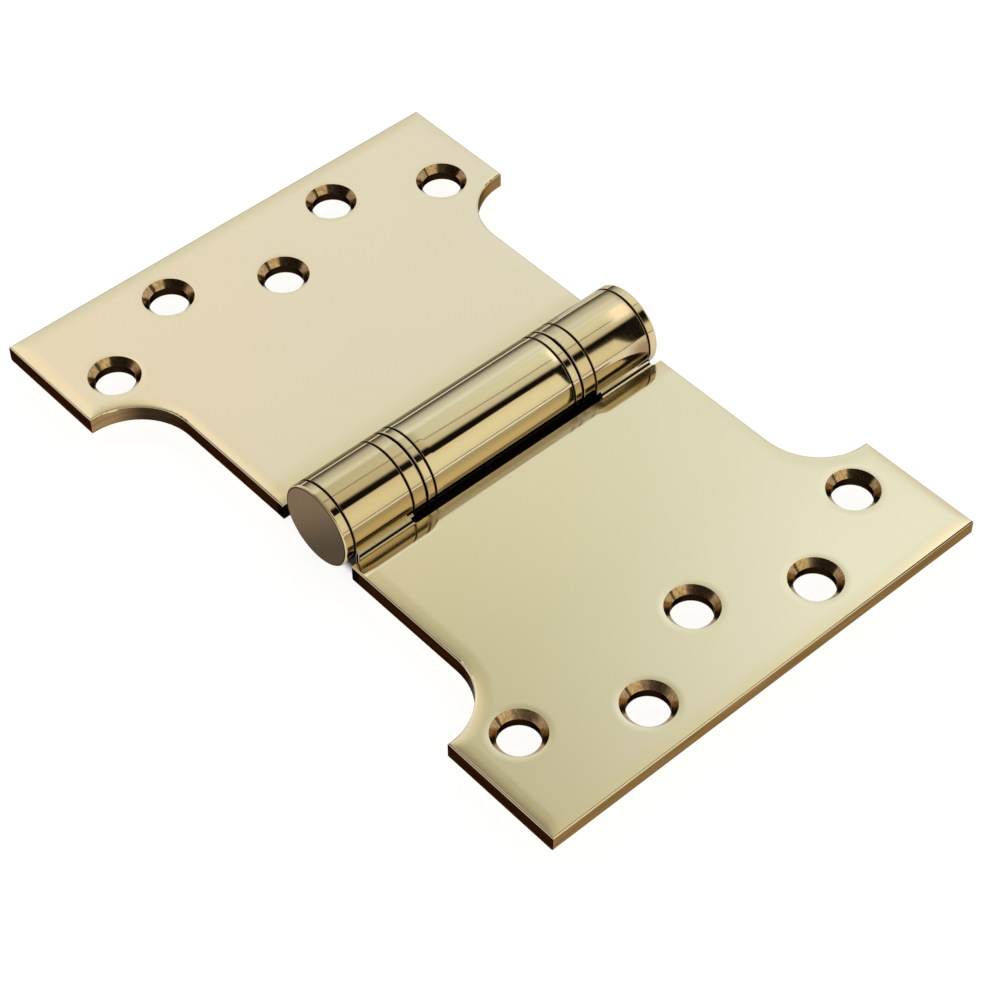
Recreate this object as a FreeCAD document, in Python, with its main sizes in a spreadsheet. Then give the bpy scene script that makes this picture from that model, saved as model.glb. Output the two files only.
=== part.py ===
import FreeCAD, Part
import math
import os

import Sketcher

# Parliament hinge, open flat, countersunk side up. Millimetres.
# X runs across the hinge, Y along the barrel, Z up. The origin is on the surface that the open hinge
# lies over, right below the middle of the barrel. The right leaf carries the two end knuckles, the left
# leaf the long middle knuckle, and a thrust ball bearing sits between each pair of knuckles.

# Driving sizes: alias, value, meaning

SIZES = [
    ("leaf_height", 102.0, "height of each leaf's foot, along the barrel"),
    ("leaf_reach", 76.0, "barrel axis to the outer edge of a leaf"),
    ("leaf_thick", 3.5, "thickness of the plate"),
    ("notch_depth", 13.0, "how far each notch cuts in from the end of the foot"),
    ("foot_width", 26.0, "width of the foot that holds the screws"),
    ("notch_radius", 12.5, "round notch between neck and foot"),
    ("edge_round", 0.4, "rounding of the plate's polished edges"),
    ("back_round", 0.6, "rounding of the drawn outer edge and of the screw holes at the back"),
    ("barrel_radius", 8.35, "outside radius of knuckles, bearings and caps"),
    ("axis_height", 2.6, "barrel axis above the countersunk faces"),
    ("top_fillet", 1.5, "hollow fillet from the plate up to the knuckle"),
    ("under_fillet", 2.0, "hollow fillet under the plate"),
    ("slot_clear", 1.25, "gap between a barrel piece and the edge of the other leaf"),
    ("root_step", 0.15, "how far a root still stands out beside its knuckle's relief"),
    ("root_relief", 1.0, "how far a root stops short of its knuckle's bearing end"),
    ("cap_relief", 0.4, "how far a root stops short of its knuckle's cap end"),
    ("slot_round", 0.8, "corner radius left by the cutter that mills the slots"),
    ("knuckle_round", 0.3, "rounding of the knuckle ends"),
    ("end_knuckle", 13.7, "length of each end knuckle"),
    ("bearing_width", 5.3, "room for one bearing between two knuckles"),
    ("cover_width", 1.9, "visible width of the bearing cover"),
    ("running_gap", 0.3, "open gap between bearing cover and bearing cup"),
    ("cover_floor", 0.75, "wall of the bearing cover behind its race"),
    ("race_thick", 0.9, "thickness of each steel race"),
    ("cup_wall", 0.75, "wall round the races in cup and cover"),
    ("race_fit", 0.05, "radial clearance of a race in its cup or cover"),
    ("ball_radius", 1.19, "radius of a ball"),
    ("ball_count", 10, "balls in one bearing"),
    ("ball_clear", 0.03, "clearance of a ball in its grooves"),
    ("groove_depth", 0.3, "depth of the ball groove in a race"),
    ("cage_thick", 1.0, "thickness of the ball cage"),
    ("cage_clear", 0.05, "clearance of a ball in its cage hole"),
    ("cage_side_gap", 0.2, "gap between cage and pin, and between cage and cup"),
    ("knuckle_wall", 4.8, "wall of a knuckle round the pin"),
    ("pin_fit", 0.05, "radial clearance of the pin in the knuckles"),
    ("ring_fit", 0.15, "radial clearance of bearing parts round the pin"),
    ("pin_end_gap", 0.3, "space between the pin's end and a cap's spigot"),
    ("pin_point", 0.5, "chamfer at the pin's ends"),
    ("cap_proud", 0.1, "how far a cap's face stands past the end of the neck"),
    ("cap_thick", 2.1, "thickness of an end cap's head"),
    ("cap_round", 0.45, "rounding of the cap's outer edge"),
    ("spigot_length", 5.0, "how far a cap's spigot goes into the knuckle"),
    ("spigot_fit", 0.01, "radial clearance of a cap's spigot"),
    ("screw_bore", 7.8, "through diameter of a screw hole"),
    ("sink_width", 10.2, "top diameter of the countersink"),
    ("sink_angle", 82.0, "included angle of the countersink"),
    ("outer_margin", 9.5, "outer edge of the leaf to the outer row of holes"),
    ("inner_margin", 6.4, "inner edge of the foot to the inner row of holes"),
    ("end_margin", 10.3, "end of the leaf to the first hole"),
    ("waste", 3.0, "how far a cutter runs past the metal"),
]

# Sizes worked out from the driving ones: alias, formula, meaning

PLACES = [
    ("lift", "sizes.barrel_radius - sizes.axis_height", "countersunk faces above the origin"),
    ("foot_half", "sizes.leaf_height / 2", "half height of the foot"),
    ("neck_half", "places.foot_half - sizes.notch_depth", "half height of the neck"),
    ("foot_inner", "sizes.leaf_reach - sizes.foot_width", "inner edge of the foot"),
    ("slot_edge", "sizes.barrel_radius + sizes.slot_clear", "edge of a leaf beside the other's knuckle"),
    ("relief_edge", "sizes.barrel_radius + sizes.root_step", "side of the relief at a root's end"),
    ("waste_reach", "sizes.barrel_radius + sizes.waste", "cutter's reach past the barrel"),
    ("waste_half", "places.foot_half + sizes.waste", "cutter's reach past the foot"),
    ("cap_end", "places.neck_half + sizes.cap_proud", "outer face of a cap"),
    ("barrel_half", "places.cap_end - sizes.cap_thick", "outer end of an end knuckle"),
    ("cap_root", "places.barrel_half - sizes.cap_relief", "outer end of an end knuckle's root"),
    ("knuckle_start", "places.barrel_half - sizes.end_knuckle", "bearing end of an end knuckle"),
    ("end_root", "places.knuckle_start + sizes.root_relief", "start of an end knuckle's root"),
    ("middle_end", "places.knuckle_start - sizes.bearing_width", "end of the middle knuckle"),
    ("middle_root", "places.middle_end - sizes.root_relief", "end of the middle knuckle's root"),
    ("knuckle_bore", "sizes.barrel_radius - sizes.knuckle_wall", "bore radius of the knuckles"),
    ("pin_radius", "places.knuckle_bore - sizes.pin_fit", "radius of the steel pin"),
    ("ring_bore", "places.pin_radius + sizes.ring_fit", "bore radius of the bearing parts"),
    ("spigot_radius", "places.knuckle_bore - sizes.spigot_fit", "radius of a cap's spigot"),
    ("spigot_start", "places.barrel_half - sizes.spigot_length", "inner end of a cap's spigot"),
    ("pin_length", "2 * (places.spigot_start - sizes.pin_end_gap)", "length of the pin"),
    ("race_gap", "2 * (sizes.ball_radius + sizes.ball_clear - sizes.groove_depth)", "between two races"),
    ("groove_radius", "sizes.ball_radius + sizes.ball_clear", "section radius of a ball groove"),
    ("recess_radius", "sizes.barrel_radius - sizes.cup_wall", "recess for a race in cup and cover"),
    ("race_radius", "places.recess_radius - sizes.race_fit", "outside radius of the races"),
    ("ball_circle", "(places.ring_bore + places.race_radius) / 2", "radius of the circle of ball centres"),
    ("cover_end", "places.middle_end + sizes.cover_width", "open end of the bearing cover"),
    ("cup_start", "places.cover_end + sizes.running_gap", "open end of the bearing cup"),
    ("inner_seat", "places.middle_end + sizes.cover_floor", "back of the race in the cover"),
    ("inner_face", "places.inner_seat + sizes.race_thick", "ball side of the race in the cover"),
    ("outer_face", "places.inner_face + places.race_gap", "ball side of the race in the cup"),
    ("outer_seat", "places.outer_face + sizes.race_thick", "back of the race in the cup"),
    ("ball_plane", "(places.inner_face + places.outer_face) / 2", "plane of the ball centres"),
    ("cage_start", "places.ball_plane - sizes.cage_thick / 2", "one side of the cage"),
    ("cage_end", "places.ball_plane + sizes.cage_thick / 2", "other side of the cage"),
    ("cage_bore", "places.pin_radius + sizes.cage_side_gap", "bore radius of the cage"),
    ("cage_rim", "places.recess_radius - sizes.cage_side_gap", "outside radius of the cage"),
    ("cage_hole", "sizes.ball_radius + sizes.cage_clear", "radius of a hole in the cage"),
    ("screw_radius", "sizes.screw_bore / 2", "radius of a screw hole"),
    ("outer_row_x", "sizes.leaf_reach - sizes.outer_margin", "outer row of holes"),
    ("inner_row_x", "places.foot_inner + sizes.inner_margin", "inner row of holes"),
    ("hole_reach", "places.foot_half - sizes.end_margin", "end holes from the middle of the leaf"),
    ("hole_pitch", "places.hole_reach / 2", "step of the zigzag along the leaf"),
]

TURN = FreeCAD.Rotation(FreeCAD.Vector(0, 0, 1), 180)
NO_TURN = FreeCAD.Rotation()
SAME_PLACE = 1e-3

doc = FreeCAD.newDocument("parliament_hinge")


def fill_sheet(label, rows, formula_mark):
    sheet = doc.addObject("Spreadsheet::Sheet", label)
    for number, (alias, content, meaning) in enumerate(rows, start=1):
        sheet.set("A%d" % number, alias)
        sheet.set("B%d" % number, formula_mark + str(content))
        sheet.setAlias("B%d" % number, alias)
        sheet.set("C%d" % number, meaning)
    doc.recompute()
    return sheet


sizes = fill_sheet("sizes", SIZES, "")
places = fill_sheet("places", PLACES, "=")
SIZE_NAMES = {alias for alias, content, meaning in SIZES}


def ref(name):
    """Expression for a named size or place, with its sign."""
    if name.startswith("-"):
        return "-" + ref(name[1:])
    return ("sizes." if name in SIZE_NAMES else "places.") + name


def value(name):
    """Present value of a named size or place; zero is a name too."""
    if name == "zero":
        return 0.0
    if name.startswith("-"):
        return -value(name[1:])
    return float(getattr(sizes if name in SIZE_NAMES else places, name))


# Sketching helpers

HORIZONTAL_AXIS, VERTICAL_AXIS = range(-1, -3, -1)
START, END, CENTRE = range(1, 4)
ORIGIN = (HORIZONTAL_AXIS, START)


def origin_feature(body, role):
    return next(feature for feature in body.Origin.OriginFeatures if feature.Role == role)


def new_sketch(body, name, plane):
    sketch = body.newObject("Sketcher::SketchObject", name)
    sketch.AttachmentSupport = [(origin_feature(body, plane), "")]
    sketch.MapMode = "FlatFace"
    return sketch


def drive(sketch, kind, geometry, name):
    """Adds a driving constraint bound to a named size."""
    index = sketch.addConstraint(Sketcher.Constraint(kind, *geometry, value(name)))
    sketch.setExpression("Constraints[%d]" % index, ref(name))


def place_point(sketch, point, axis, name):
    """Holds one coordinate of a point: axis X or Y."""
    if name == "zero":
        line = VERTICAL_AXIS if axis == "X" else HORIZONTAL_AXIS
        sketch.addConstraint(Sketcher.Constraint("PointOnObject", *point, line))
    else:
        drive(sketch, "Distance" + axis, ORIGIN + point, name)


def circle(sketch, x, y, radius):
    centre = FreeCAD.Vector(value(x), value(y), 0)
    number = sketch.addGeometry(Part.Circle(centre, FreeCAD.Vector(0, 0, 1), value(radius)), False)
    place_point(sketch, (number, CENTRE), "X", x)
    place_point(sketch, (number, CENTRE), "Y", y)
    drive(sketch, "Radius", (number,), radius)


def arc_geometry(centre, radius, first, last):
    """Arc that runs anticlockwise from the first point to the last."""
    begin = math.atan2(first.y - centre.y, first.x - centre.x)
    finish = math.atan2(last.y - centre.y, last.x - centre.x)
    if finish <= begin:
        finish += 2 * math.pi
    return Part.ArcOfCircle(Part.Circle(centre, FreeCAD.Vector(0, 0, 1), radius), begin, finish)


def outline(sketch, corners):
    """Closed outline of level and upright lines through named corners, some of them rounded."""
    count = len(corners)
    points = [FreeCAD.Vector(value(corner[0]), value(corner[1]), 0) for corner in corners]
    ways = [(points[(k + 1) % count] - points[k]).normalize() for k in range(count)]
    trims = [value(corner[2]) if len(corner) > 2 else 0.0 for corner in corners]
    lines = []
    for k in range(count):
        begin = points[k] + ways[k] * trims[k]
        finish = points[(k + 1) % count] - ways[k] * trims[(k + 1) % count]
        lines.append(sketch.addGeometry(Part.LineSegment(begin, finish), False))
    for k in range(count):
        before, after = lines[k - 1], lines[k]
        if not trims[k]:
            sketch.addConstraint(Sketcher.Constraint("Coincident", before, END, after, START))
            continue
        entry = points[k] - ways[k - 1] * trims[k]
        leave = points[k] + ways[k] * trims[k]
        centre = entry + ways[k] * trims[k]
        left_turn = ways[k - 1].cross(ways[k]).z > 0
        ends = (entry, leave) if left_turn else (leave, entry)
        arc = sketch.addGeometry(arc_geometry(centre, trims[k], *ends), False)
        first, last = (START, END) if left_turn else (END, START)
        sketch.addConstraint(Sketcher.Constraint("Tangent", before, END, arc, first))
        sketch.addConstraint(Sketcher.Constraint("Tangent", arc, last, after, START))
        drive(sketch, "Radius", (arc,), corners[k][2])
    for k in range(count):
        level = corners[k][1] == corners[(k + 1) % count][1]
        sketch.addConstraint(Sketcher.Constraint("Horizontal" if level else "Vertical", lines[k]))
        axis, name = ("Y", corners[k][1]) if level else ("X", corners[k][0])
        place_point(sketch, (lines[k], START), axis, name)


# Body helpers

def new_body(label):
    body = doc.addObject("PartDesign::Body", label)
    body.Label = label
    return body


def through(body, name, sketch):
    """Cuts a sketch through the whole piece, both ways."""
    before = body.Shape.Volume
    pocket = body.newObject("PartDesign::Pocket", name)
    pocket.Profile = sketch
    pocket.Type = "ThroughAll"
    pocket.SideType = "Symmetric"
    doc.recompute()
    if not body.Shape.Volume < before:
        raise RuntimeError(name + " cuts nothing")
    return pocket


def revolve(body, kind, name, sketch):
    """Turns a sketch round the body's Y axis, the barrel axis of a turned piece."""
    feature = body.newObject("PartDesign::" + kind, name)
    feature.Profile = sketch
    feature.ReferenceAxis = (sketch, ["V_Axis"])
    feature.Angle = 360
    doc.recompute()
    return feature


def round_edges(body, name, wanted, radius):
    """Rounds the edges of the piece so far that the test picks."""
    tip = body.Tip
    names = ["Edge%d" % (k + 1) for k, edge in enumerate(tip.Shape.Edges) if wanted(edge)]
    fillet = body.newObject("PartDesign::Fillet", name)
    fillet.Base = (tip, names)
    fillet.setExpression("Radius", ref(radius))
    doc.recompute()
    return fillet


def near(first, second):
    return abs(first - second) < SAME_PLACE


# Leaves: a drawn brass section, blanked and milled to shape, bored and drilled

def section_sketch(body):
    """Section of the drawn bar: plate, hollow fillets above and below, round barrel."""
    sketch = new_sketch(body, "bar_section", "XZ_Plane")
    barrel, top, under = value("barrel_radius"), value("top_fillet"), value("under_fillet")
    height, thick, reach = value("axis_height"), value("leaf_thick"), value("leaf_reach")
    top_foot = math.sqrt((barrel + top) ** 2 - (top - height) ** 2)
    under_foot = math.sqrt((barrel + under) ** 2 - (thick + under + height) ** 2)
    axis = FreeCAD.Vector(0, height, 0)
    top_centre = FreeCAD.Vector(top_foot, top, 0)
    under_centre = FreeCAD.Vector(under_foot, -thick - under, 0)
    top_touch = axis + (top_centre - axis).normalize() * barrel
    under_touch = axis + (under_centre - axis).normalize() * barrel
    top_end = FreeCAD.Vector(top_foot, 0, 0)
    under_end = FreeCAD.Vector(under_foot, -thick, 0)
    edge_top = FreeCAD.Vector(reach, 0, 0)
    edge_under = FreeCAD.Vector(reach, -thick, 0)
    face, edge, back, fillet_top, round_barrel, fillet_under = sketch.addGeometry([
        Part.LineSegment(top_end, edge_top),
        Part.LineSegment(edge_top, edge_under),
        Part.LineSegment(edge_under, under_end),
        arc_geometry(top_centre, top, top_touch, top_end),
        arc_geometry(axis, barrel, top_touch, under_touch),
        arc_geometry(under_centre, under, under_end, under_touch),
    ], False)
    sketch.addConstraint([
        Sketcher.Constraint("Coincident", face, END, edge, START),
        Sketcher.Constraint("Coincident", edge, END, back, START),
        Sketcher.Constraint("Tangent", back, END, fillet_under, START),
        Sketcher.Constraint("Tangent", fillet_under, END, round_barrel, END),
        Sketcher.Constraint("Tangent", round_barrel, START, fillet_top, START),
        Sketcher.Constraint("Tangent", fillet_top, END, face, START),
        Sketcher.Constraint("Horizontal", face),
        Sketcher.Constraint("Vertical", edge),
        Sketcher.Constraint("Horizontal", back),
    ])
    place_point(sketch, (face, END), "Y", "zero")
    place_point(sketch, (face, END), "X", "leaf_reach")
    place_point(sketch, (round_barrel, CENTRE), "X", "zero")
    place_point(sketch, (round_barrel, CENTRE), "Y", "axis_height")
    drive(sketch, "DistanceY", (edge, END, edge, START), "leaf_thick")
    drive(sketch, "Radius", (fillet_top,), "top_fillet")
    drive(sketch, "Radius", (round_barrel,), "barrel_radius")
    drive(sketch, "Radius", (fillet_under,), "under_fillet")
    return sketch


def cut_ends(body, corners):
    """Mills one end of the bar to the outline and mirrors the cut to the other end."""
    sketch = new_sketch(body, "end_waste", "XY_Plane")
    outline(sketch, corners)
    cut = through(body, "far_end", sketch)
    mirror = body.newObject("PartDesign::Mirrored", "both_ends")
    mirror.Originals = [cut]
    mirror.MirrorPlane = (origin_feature(body, "XZ_Plane"), [""])
    body.Tip = mirror
    doc.recompute()


def notch_corners():
    """Round notch between neck and foot, and the way round the waste."""
    return [
        ("foot_inner", "neck_half", "notch_radius"),
        ("foot_inner", "waste_half"),
        ("-waste_reach", "waste_half"),
    ]


def on_polished_edge(edge):
    """An outline edge of the plate's countersunk face, clear of the barrel and the slots."""
    box = edge.BoundBox
    level = near(box.ZMin, box.ZMax) and near(box.ZMax, 0)
    across = near(box.XMin, box.XMax) and box.XMax < value("foot_inner") - SAME_PLACE
    return level and not across and box.XMax > value("slot_edge") + SAME_PLACE


def on_drawn_back_edge(edge):
    """The long outer edge at the back, round from the drawing die."""
    box = edge.BoundBox
    return near(box.XMin, value("leaf_reach")) and near(box.ZMax, -value("leaf_thick"))


def on_hole_back(edge):
    """The rim of a screw hole at the back."""
    box = edge.BoundBox
    return (
        near(box.ZMin, box.ZMax)
        and near(box.ZMax, -value("leaf_thick"))
        and near(box.XLength, value("screw_bore"))
    )


def on_knuckle_end(edge):
    """The round edge of a knuckle's end face."""
    ends = (value("middle_end"), value("knuckle_start"), value("barrel_half"))
    box = edge.BoundBox
    return (
        near(box.YMin, box.YMax)
        and any(near(abs(box.YMax), end) for end in ends)
        and isinstance(edge.Curve, Part.Circle)
        and near(edge.Curve.Radius, value("barrel_radius"))
    )


def drill_screw_holes(body):
    """Five countersunk holes in a zigzag, from the upper face."""
    sketch = new_sketch(body, "hole_places", "XY_Plane")
    for y in ("-hole_reach", "zero", "hole_reach"):
        circle(sketch, "inner_row_x", y, "screw_radius")
    for y in ("-hole_pitch", "hole_pitch"):
        circle(sketch, "outer_row_x", y, "screw_radius")
    doc.recompute()
    before = body.Shape.Volume
    hole = body.newObject("PartDesign::Hole", "screw_holes")
    hole.Profile = sketch
    hole.DepthType = "ThroughAll"
    hole.HoleCutType = "Countersink"
    hole.HoleCutCustomValues = True
    hole.setExpression("Diameter", ref("screw_bore"))
    hole.setExpression("HoleCutDiameter", ref("sink_width"))
    hole.setExpression("HoleCutCountersinkAngle", ref("sink_angle"))
    doc.recompute()
    if not body.Shape.Volume < before:
        raise RuntimeError("the screw holes cut nothing")


def leaf(label, end_corners, slot_corners, turn):
    body = new_body(label)
    bar = body.newObject("PartDesign::Pad", "drawn_bar")
    bar.Profile = section_sketch(body)
    bar.SideType = "Symmetric"
    bar.setExpression("Length", ref("leaf_height"))
    doc.recompute()
    cut_ends(body, end_corners + notch_corners())
    if slot_corners:
        slot = new_sketch(body, "middle_waste", "XY_Plane")
        outline(slot, slot_corners)
        through(body, "middle_slot", slot)
    bore = new_sketch(body, "bore_place", "XZ_Plane")
    circle(bore, "zero", "axis_height", "knuckle_bore")
    through(body, "pin_bore", bore)
    round_edges(body, "drawn_back_edge", on_drawn_back_edge, "back_round")
    round_edges(body, "polished_edges", on_polished_edge, "edge_round")
    round_edges(body, "knuckle_ends", on_knuckle_end, "knuckle_round")
    drill_screw_holes(body)
    round_edges(body, "hole_backs", on_hole_back, "back_round")
    body.Placement.Rotation = turn
    body.setExpression("Placement.Base.z", ref("lift"))
    return body


def leaf_a():
    """Left leaf: the middle knuckle stands between two long slots."""
    ends = [
        ("-waste_reach", "middle_end"),
        ("relief_edge", "middle_end"),
        ("relief_edge", "middle_root"),
        ("slot_edge", "middle_root", "slot_round"),
        ("slot_edge", "neck_half"),
    ]
    return leaf("leaf_a", ends, None, TURN)


def leaf_b():
    """Right leaf: two end knuckles, with the slot for the middle knuckle between them."""
    ends = [
        ("-waste_reach", "barrel_half"),
        ("relief_edge", "barrel_half"),
        ("relief_edge", "cap_root"),
        ("slot_edge", "cap_root", "slot_round"),
        ("slot_edge", "neck_half"),
    ]
    slot = [
        ("-waste_reach", "-knuckle_start"),
        ("relief_edge", "-knuckle_start"),
        ("relief_edge", "-end_root"),
        ("slot_edge", "-end_root", "slot_round"),
        ("slot_edge", "end_root", "slot_round"),
        ("relief_edge", "end_root"),
        ("relief_edge", "knuckle_start"),
        ("-waste_reach", "knuckle_start"),
    ]
    return leaf("leaf_b", ends, slot, NO_TURN)


# Pieces on the barrel axis: modelled at the far end, and turned round for the near end

def seat_on_axis(body, turn):
    body.Placement.Rotation = turn
    body.setExpression("Placement.Base.z", ref("barrel_radius"))
    return body


def turned_piece(label, corners, turn):
    """Piece turned on a lathe: X is the radius, Y the place along the barrel."""
    body = new_body(label)
    sketch = new_sketch(body, "half_section", "XY_Plane")
    outline(sketch, corners)
    revolve(body, "Revolution", "turned", sketch)
    return seat_on_axis(body, turn)


def end_cap(side, turn):
    return turned_piece("cap_" + side, [
        ("zero", "spigot_start"),
        ("spigot_radius", "spigot_start"),
        ("spigot_radius", "barrel_half"),
        ("barrel_radius", "barrel_half", "knuckle_round"),
        ("barrel_radius", "cap_end", "cap_round"),
        ("zero", "cap_end"),
    ], turn)


def bearing_cup(side, turn):
    """Wide band: holds the outer race against the end knuckle."""
    return turned_piece("bearing_cup_" + side, [
        ("ring_bore", "outer_seat"),
        ("recess_radius", "outer_seat"),
        ("recess_radius", "cup_start"),
        ("barrel_radius", "cup_start", "knuckle_round"),
        ("barrel_radius", "knuckle_start", "knuckle_round"),
        ("ring_bore", "knuckle_start"),
    ], turn)


def bearing_cover(side, turn):
    """Narrow band: holds the inner race against the middle knuckle."""
    return turned_piece("bearing_cover_" + side, [
        ("ring_bore", "middle_end"),
        ("barrel_radius", "middle_end", "knuckle_round"),
        ("barrel_radius", "cover_end", "knuckle_round"),
        ("recess_radius", "cover_end"),
        ("recess_radius", "inner_seat"),
        ("ring_bore", "inner_seat"),
    ], turn)


def race(label, seat, face, turn):
    """Steel ring with a groove for the balls in its face."""
    body = turned_piece(label, [
        ("ring_bore", seat),
        ("race_radius", seat),
        ("race_radius", face),
        ("ring_bore", face),
    ], turn)
    groove = new_sketch(body, "groove_section", "XY_Plane")
    circle(groove, "ball_circle", "ball_plane", "groove_radius")
    revolve(body, "Groove", "ball_groove", groove)
    return body


def ring_of(body, feature, name):
    """Repeats a feature once per ball round the barrel axis."""
    pattern = body.newObject("PartDesign::PolarPattern", name)
    pattern.Originals = [feature]
    pattern.Axis = (origin_feature(body, "Y_Axis"), [""])
    pattern.Angle = 360
    pattern.setExpression("Occurrences", ref("ball_count"))
    body.Tip = pattern
    doc.recompute()


def ball_cage(side, turn):
    body = turned_piece("ball_cage_" + side, [
        ("cage_bore", "cage_start"),
        ("cage_rim", "cage_start"),
        ("cage_rim", "cage_end"),
        ("cage_bore", "cage_end"),
    ], turn)
    hole = new_sketch(body, "ball_hole", "XZ_Plane")
    circle(hole, "ball_circle", "zero", "cage_hole")
    ring_of(body, through(body, "first_hole", hole), "ball_holes")
    return body


def bearing_balls(side, turn):
    body = new_body("bearing_balls_" + side)
    body.AllowCompound = True
    ball = body.newObject("PartDesign::AdditiveSphere", "ball")
    ball.setExpression("Radius", ref("ball_radius"))
    ball.setExpression("AttachmentOffset.Base.x", ref("ball_circle"))
    ball.setExpression("AttachmentOffset.Base.y", ref("ball_plane"))
    ball.AttachmentSupport = [(origin_feature(body, "XY_Plane"), "")]
    ball.MapMode = "FlatFace"
    doc.recompute()
    ring_of(body, ball, "balls")
    return seat_on_axis(body, turn)


def hinge_pin():
    body = new_body("hinge_pin")
    section = new_sketch(body, "pin_section", "XZ_Plane")
    circle(section, "zero", "zero", "pin_radius")
    rod = body.newObject("PartDesign::Pad", "rod")
    rod.Profile = section
    rod.SideType = "Symmetric"
    rod.setExpression("Length", ref("pin_length"))
    doc.recompute()
    points = body.newObject("PartDesign::Chamfer", "points")
    rims = [k for k, edge in enumerate(rod.Shape.Edges) if near(edge.BoundBox.YMin, edge.BoundBox.YMax)]
    points.Base = (rod, ["Edge%d" % (k + 1) for k in rims])
    points.setExpression("Size", ref("pin_point"))
    return seat_on_axis(body, NO_TURN)


# The whole hinge

pieces = [leaf_a(), leaf_b(), hinge_pin()]
for side, turn in (("near", TURN), ("far", NO_TURN)):
    pieces.append(end_cap(side, turn))
    pieces.append(bearing_cup(side, turn))
    pieces.append(bearing_cover(side, turn))
    pieces.append(race("outer_race_" + side, "outer_seat", "outer_face", turn))
    pieces.append(race("inner_race_" + side, "inner_seat", "inner_face", turn))
    pieces.append(ball_cage(side, turn))
    pieces.append(bearing_balls(side, turn))
doc.recompute()

for thing in doc.Objects:
    if "Invalid" in thing.State or "Error" in thing.State:
        raise RuntimeError("%s failed: %s" % (thing.Label, thing.State))
for piece in pieces:
    if piece.Shape.isNull() or not piece.Shape.isValid():
        raise RuntimeError(piece.Label + " has no valid shape")

os.makedirs("parts", exist_ok=True)
for piece in pieces:
    piece.Shape.exportStep("parts/%s.step" % piece.Label)
    box = piece.Shape.BoundBox
    print("%-20s %2d solids  volume %9.2f  x %7.2f %7.2f  y %7.2f %7.2f  z %6.2f %6.2f" % (
        piece.Label, len(piece.Shape.Solids), piece.Shape.Volume,
        box.XMin, box.XMax, box.YMin, box.YMax, box.ZMin, box.ZMax))
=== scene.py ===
# %% [markdown]
# # A parliament hinge in polished brass
#
# The hinge lies open and flat: two wide leaves with waisted necks, joined by one fat
# barrel that turns on ball bearings. Every piece is already a solid in the frame that
# is loaded here, so this lesson is about looks. It sets up the camera, the floor and
# the studio, and then gives each metal its own finish. Polished metal has hardly any
# colour of its own to show, it shows the room, so the studio matters as much as the
# materials do.

# %% Load the frame
import math

import bpy
from mathutils import Matrix, Vector

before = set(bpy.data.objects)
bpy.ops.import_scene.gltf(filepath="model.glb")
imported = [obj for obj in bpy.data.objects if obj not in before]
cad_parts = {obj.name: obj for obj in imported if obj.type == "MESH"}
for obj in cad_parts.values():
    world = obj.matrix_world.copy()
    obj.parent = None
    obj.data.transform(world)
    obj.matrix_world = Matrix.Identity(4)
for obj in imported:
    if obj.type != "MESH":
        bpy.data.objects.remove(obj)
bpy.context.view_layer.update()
print("pieces:", ", ".join(sorted(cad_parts)))

# %% [markdown]
# ## Units and one helper for nodes
#
# Blender works in metres and in linear light. A maker thinks in millimetres, and a
# colour is usually written as a hex code for the screen. Both are turned once, here,
# so that every number below can be read as it would be on a drawing. The other helper
# adds one shader node, with its settings and whatever feeds it, because a node tree
# written out longhand hides its own idea.

# %% Units and nodes
MM = 0.001


def linear(hex_colour):
    """Turn a screen colour such as #C8A050 into the linear light Blender uses."""
    channels = [int(hex_colour[i:i + 2], 16) / 255 for i in (1, 3, 5)]
    return [c / 12.92 if c <= 0.04045 else ((c + 0.055) / 1.055) ** 2.4
            for c in channels] + [1.0]


def add(tree, kind, feeds=None, **settings):
    """Add a node, set its properties, and fill its inputs with values or with links."""
    node = tree.nodes.new(kind)
    for name, value in settings.items():
        setattr(node, name, value)
    for name, value in (feeds or {}).items():
        socket = node.inputs[name]
        if isinstance(value, bpy.types.NodeSocket):
            tree.links.new(value, socket)
        else:
            socket.default_value = value
    return node


def new_material(name):
    """Make an empty material and return it with its tree and its output node."""
    material = bpy.data.materials.new(name)
    material.use_nodes = True
    material.node_tree.nodes.clear()
    output = add(material.node_tree, "ShaderNodeOutputMaterial")
    return material, material.node_tree, output


# %% [markdown]
# ## A small language for masks
#
# Nearly every look below is a mask: a number that is 1 where something is and 0 where
# it isn't, with a soft border between. A border is always written as a pair, first the
# place where the mask is still 0 and then the place where it has become 1, so a pair
# that runs downwards is a border on the far side. Masks are multiplied to find where
# they overlap, and then they choose between two colours or two numbers.

# %% Masks
def combine(tree, a, b, operation="MULTIPLY"):
    """Join two masks, or do other arithmetic on two values."""
    return add(tree, "ShaderNodeMath", {0: a, 1: b}, operation=operation).outputs[0]


def overlap(tree, *masks):
    """Keep only what all the masks share."""
    shared = masks[0]
    for mask in masks[1:]:
        shared = combine(tree, shared, mask)
    return shared


def opposite(tree, mask):
    """Turn a mask inside out."""
    return combine(tree, 1.0, mask, "SUBTRACT")


def apart(tree, value, middle):
    """How far a value is from the middle, either way."""
    return combine(tree, combine(tree, value, middle, "SUBTRACT"), 0.0, "ABSOLUTE")


def ease(tree, value, start, end, low=0.0, high=1.0, curve="SMOOTHSTEP"):
    """Go softly from low to high while the value goes from start to end."""
    return add(tree, "ShaderNodeMapRange",
               {"Value": value, "From Min": start, "From Max": end,
                "To Min": low, "To Max": high}, interpolation_type=curve).outputs[0]


def slide(tree, value, start, end, low=0.0, high=1.0):
    """Go evenly from low to high while the value goes from start to end."""
    return ease(tree, value, start, end, low, high, "LINEAR")


def within(tree, value, first, second):
    """Mask between two borders, each a pair of where it is 0 and where it is 1."""
    return combine(tree, ease(tree, value, *first), ease(tree, value, *second))


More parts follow.
